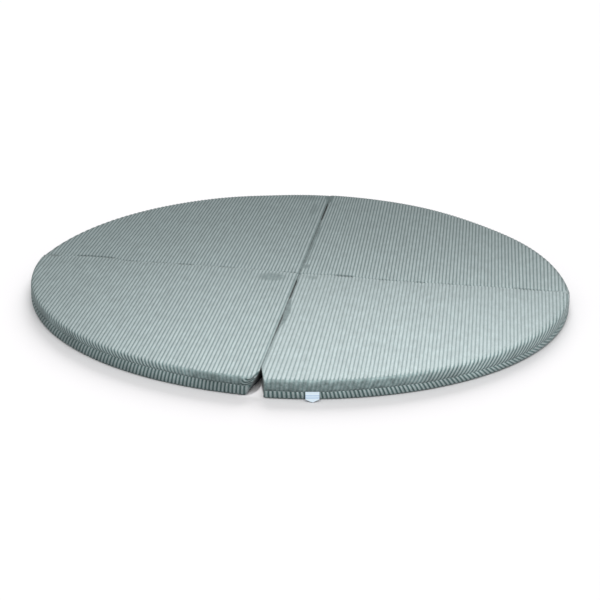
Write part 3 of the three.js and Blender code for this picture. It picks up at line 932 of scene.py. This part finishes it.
for pad_name, pad_sizes in PADS.items():
    Quarter(pad_name, pad_sizes).build()


# Joining strips: how far they stop short of the rim and of the crossing, and their sections across and up
STRIP_THICKNESS = 0.6
STRIP_END = 24
STRIP_START = 10
STRIP_STEPS = 90
FOLD_STRIP_SECTION = (
    (-0.85, 47.6), (-0.85, 44.6), (-0.5, 42.4), (0, 41.6), (0.5, 42.4), (0.85, 44.6), (0.85, 47.6),
)
BACK_STRIP_SECTION = ((-4.2, 0.8), (-2.5, 2.3), (-0.9, 4.2), (0, 4.6), (0.9, 4.2), (2.5, 2.3), (4.2, 0.8))


def ribbon(node, line, across, section):
    """A stretched strip of cloth along a line of places, with a section of (across, height)."""
    middle = curve_through(section, 3)
    along = np.gradient(middle, axis=0)
    along /= np.linalg.norm(along, axis=1)[:, None]
    normal = np.stack([-along[:, 1], along[:, 0]], axis=1) * STRIP_THICKNESS / 2
    ring = np.vstack([middle + normal, (middle - normal)[::-1]])
    points = np.array([
        np.stack([place[0] + across[0] * ring[:, 0], place[1] + across[1] * ring[:, 0], ring[:, 1]], axis=1)
        for place in line
    ])
    count, width = points.shape[:2]
    at = np.arange(count * width).reshape(count, width)
    faces = []
    grid_faces(np.hstack([at, at[:, :1]]), faces)
    half = width // 2
    for end in (at[0], at[-1]):
        grid_faces(np.array([end[:half], end[:half - 1 : -1]]), faces)
    piece = mesh_object("strip_" + node, points.reshape(-1, 3), faces, STRIP_CLOTH)
    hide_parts(node)
    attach(piece, "root")


def add_strips():
    for side, name in ((-1, "left"), (1, "right")):
        reach = PADS["pad_back_" + name]["radii"][0] - STRIP_END
        x = side * np.linspace(STRIP_START, reach, STRIP_STEPS)
        line = np.stack([x, fold_line(x)], axis=1)
        ribbon("fold_" + name, line, (0, 1), FOLD_STRIP_SECTION)
    y = np.linspace(BACK_STRIP_START, PADS["pad_back_left"]["radii"][-1] - STRIP_END, STRIP_STEPS)
    line = np.stack([0 * y, y], axis=1)
    ribbon("fold_back", line, (1, 0), BACK_STRIP_SECTION)


# The label hangs from the mid seam: distance outward from the widest line of the rim, and height
LABEL_FALL = ((-2.6, 22), (-0.6, 20.2), (2.4, 16.8), (6, 13.2), (9.2, 9.4), (12, 5.6), (14.6, 2.6), (17, 1.2))
LABEL_WIDTH = 36
LABEL_POINT = 8
LABEL_FROM_CENTRE = 144
LABEL_COLUMNS = 24
# Its thickness, and which way that goes: outward and up
LABEL_THICKNESS = 0.9
LABEL_LEAN = (0.8, 0.6)
# How it waves across its width: how far, how many radians from the middle to a side, and from where
LABEL_WAVE = 0.5
LABEL_WAVE_TURN = 2.2
LABEL_WAVE_START = 0.4


def label_layer(fall, gone, lift):
    """Rows of points on the label's face, lifted by so much, and how far down the fall each of them lies."""
    rim = PADS["pad_front_right"]["radii"][-1]
    angle = math.asin(LABEL_FROM_CENTRE / rim)
    outward = np.array([math.sin(angle), -math.cos(angle), 0])
    sideways = np.array([math.cos(angle), math.sin(angle), 0])
    aside = np.linspace(-1, 1, LABEL_COLUMNS)
    length = gone[-1] - LABEL_POINT * np.abs(aside)
    rows, shares = [], []
    for share in np.linspace(0, 1, len(fall)):
        reach = share * length
        out = np.interp(reach, gone, fall[:, 0]) + lift * LABEL_LEAN[0]
        z = np.interp(reach, gone, fall[:, 1]) + lift * LABEL_LEAN[1]
        out = out + LABEL_WAVE * share * np.cos(aside * LABEL_WAVE_TURN + LABEL_WAVE_START)
        rows.append((rim + out)[:, None] * outward + (aside * LABEL_WIDTH / 2)[:, None] * sideways
                    + z[:, None] * np.array([0, 0, 1]))
        shares.append(reach / gone[-1])
    return np.array(rows), np.concatenate(shares)


def add_label():
    fall = curve_through(LABEL_FALL, 4)
    gone = np.concatenate([[0], np.cumsum(np.linalg.norm(np.diff(fall, axis=0), axis=1))])
    layers = [label_layer(fall, gone, lift) for lift in (0, LABEL_THICKNESS)]
    points = np.array([rows for rows, shares in layers])
    at = np.arange(points[..., 0].size).reshape(points.shape[:3])
    faces = []
    grid_faces(at[0], faces)
    grid_faces(at[1][:, ::-1], faces)
    rim_of = [np.concatenate([a[0], a[1:, -1], a[-1, -2::-1], a[-2:0:-1, 0], a[0, :1]]) for a in at]
    grid_faces(np.array([rim_of[1], rim_of[0]]), faces)
    falls = np.concatenate([shares for rows, shares in layers])
    piece = mesh_object("label_cloth", points.reshape(-1, 3), faces, SATIN, {"fall": falls})
    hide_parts("label")
    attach(piece, "root")


add_strips()
add_label()


# Floor and light, in metres
FLOOR_SIZE = 60
FLOOR_DARK = (0.86, 0.85, 0.86, 1)
FLOOR_LIGHT = (0.88, 0.87, 0.88, 1)
MAT_PIECES = ("cover", "strip", "label")
# Broad light from the front, and low light from behind that lays a soft shade on the floor before the mat:
# name, strength, softness in degrees, place, what is lit, and whether the mat's shadow falls there
SUNS = (
    ("mat_sun", 1.32, 60, (0.2, -1.0, 1.75), MAT_PIECES, True),
    ("floor_sun", 1.32, 60, (0.2, -1.0, 1.75), "floor", False),
    ("back_sun", 2.2, 34, (0.0, 1.75, 0.9), "floor", True),
)
# A soft spot on the floor between the two front corners
SLIT_LIGHT = dict(watts=40, spot_deg=7, place=(-0.012, -0.73, 1.5), aim=(-0.012, -0.725, 0))
# A softbox over the near right of the mat, which lights the covers alone
SOFTBOX = dict(
    watts=65, size=2.0, tint=(1.0, 0.94, 0.935), place=(0.614, -1.161, 1.139), aim=(0.614, -1.16, 0))


def add_floor():
    bpy.ops.mesh.primitive_plane_add(size=FLOOR_SIZE, location=(0, 0, 0))
    floor = bpy.context.object
    floor.name = "floor"
    material, nodes, links, shader = node_material("pale_floor")
    clouds = add(nodes, "ShaderNodeTexNoise", {"Scale": 3.0, "Detail": 2.0})
    ramp = add(nodes, "ShaderNodeValToRGB")
    links.new(clouds.outputs["Fac"], ramp.inputs["Fac"])
    ramp.color_ramp.elements[0].color = FLOOR_DARK
    ramp.color_ramp.elements[1].color = FLOOR_LIGHT
    links.new(ramp.outputs["Color"], shader.inputs["Base Color"])
    shader.inputs["Roughness"].default_value = 1.0
    shader.inputs["Specular IOR Level"].default_value = 0.0
    floor.data.materials.append(material)


def aimed(name, data, place, aim):
    """A light that stands at a place and points at its aim."""
    light = bpy.data.objects.new(name, data)
    light.location = place
    light.rotation_mode = "QUATERNION"
    light.rotation_quaternion = (Vector(aim) - Vector(place)).to_track_quat("-Z", "Y")
    bpy.context.scene.collection.objects.link(light)
    return light


def light_only(light, names, blocked=True):
    """Lets a light fall only on pieces whose names start so. Unless blocked, nothing casts its shadow."""
    lit = bpy.data.collections.new("lit_by_" + light.name)
    for piece in bpy.context.scene.collection.objects:
        if piece.type == "MESH" and piece.name.startswith(names):
            lit.objects.link(piece)
    light.light_linking.receiver_collection = lit
    if not blocked:
        light.light_linking.blocker_collection = bpy.data.collections.new("blockers_of_" + light.name)


def add_suns():
    for name, strength, soft_deg, place, names, blocked in SUNS:
        data = bpy.data.lights.new(name, "SUN")
        data.energy = strength
        data.angle = math.radians(soft_deg)
        light_only(aimed(name, data, place, (0, 0, 0)), names, blocked)


def add_slit_light():
    data = bpy.data.lights.new("slit_light", "SPOT")
    data.energy = SLIT_LIGHT["watts"]
    data.spot_size = math.radians(SLIT_LIGHT["spot_deg"])
    data.spot_blend = 1.0
    light_only(aimed("slit_light", data, SLIT_LIGHT["place"], SLIT_LIGHT["aim"]), "floor", blocked=False)


def add_softbox():
    data = bpy.data.lights.new("softbox", "AREA")
    data.shape = "SQUARE"
    data.size = SOFTBOX["size"]
    data.energy = SOFTBOX["watts"]
    data.color = SOFTBOX["tint"]
    light = aimed("softbox", data, SOFTBOX["place"], SOFTBOX["aim"])
    light.visible_camera = False
    light_only(light, ("cover", "strip"))


def add_world():
    world = bpy.data.worlds.new("studio")
    world.use_nodes = True
    background = world.node_tree.nodes["Background"]
    background.inputs["Color"].default_value = (1, 1, 1, 1)
    background.inputs["Strength"].default_value = 0.5
    bpy.context.scene.world = world


add_floor()
add_suns()
add_slit_light()
add_softbox()
add_world()
bpy.context.scene.view_settings.view_transform = "Standard"
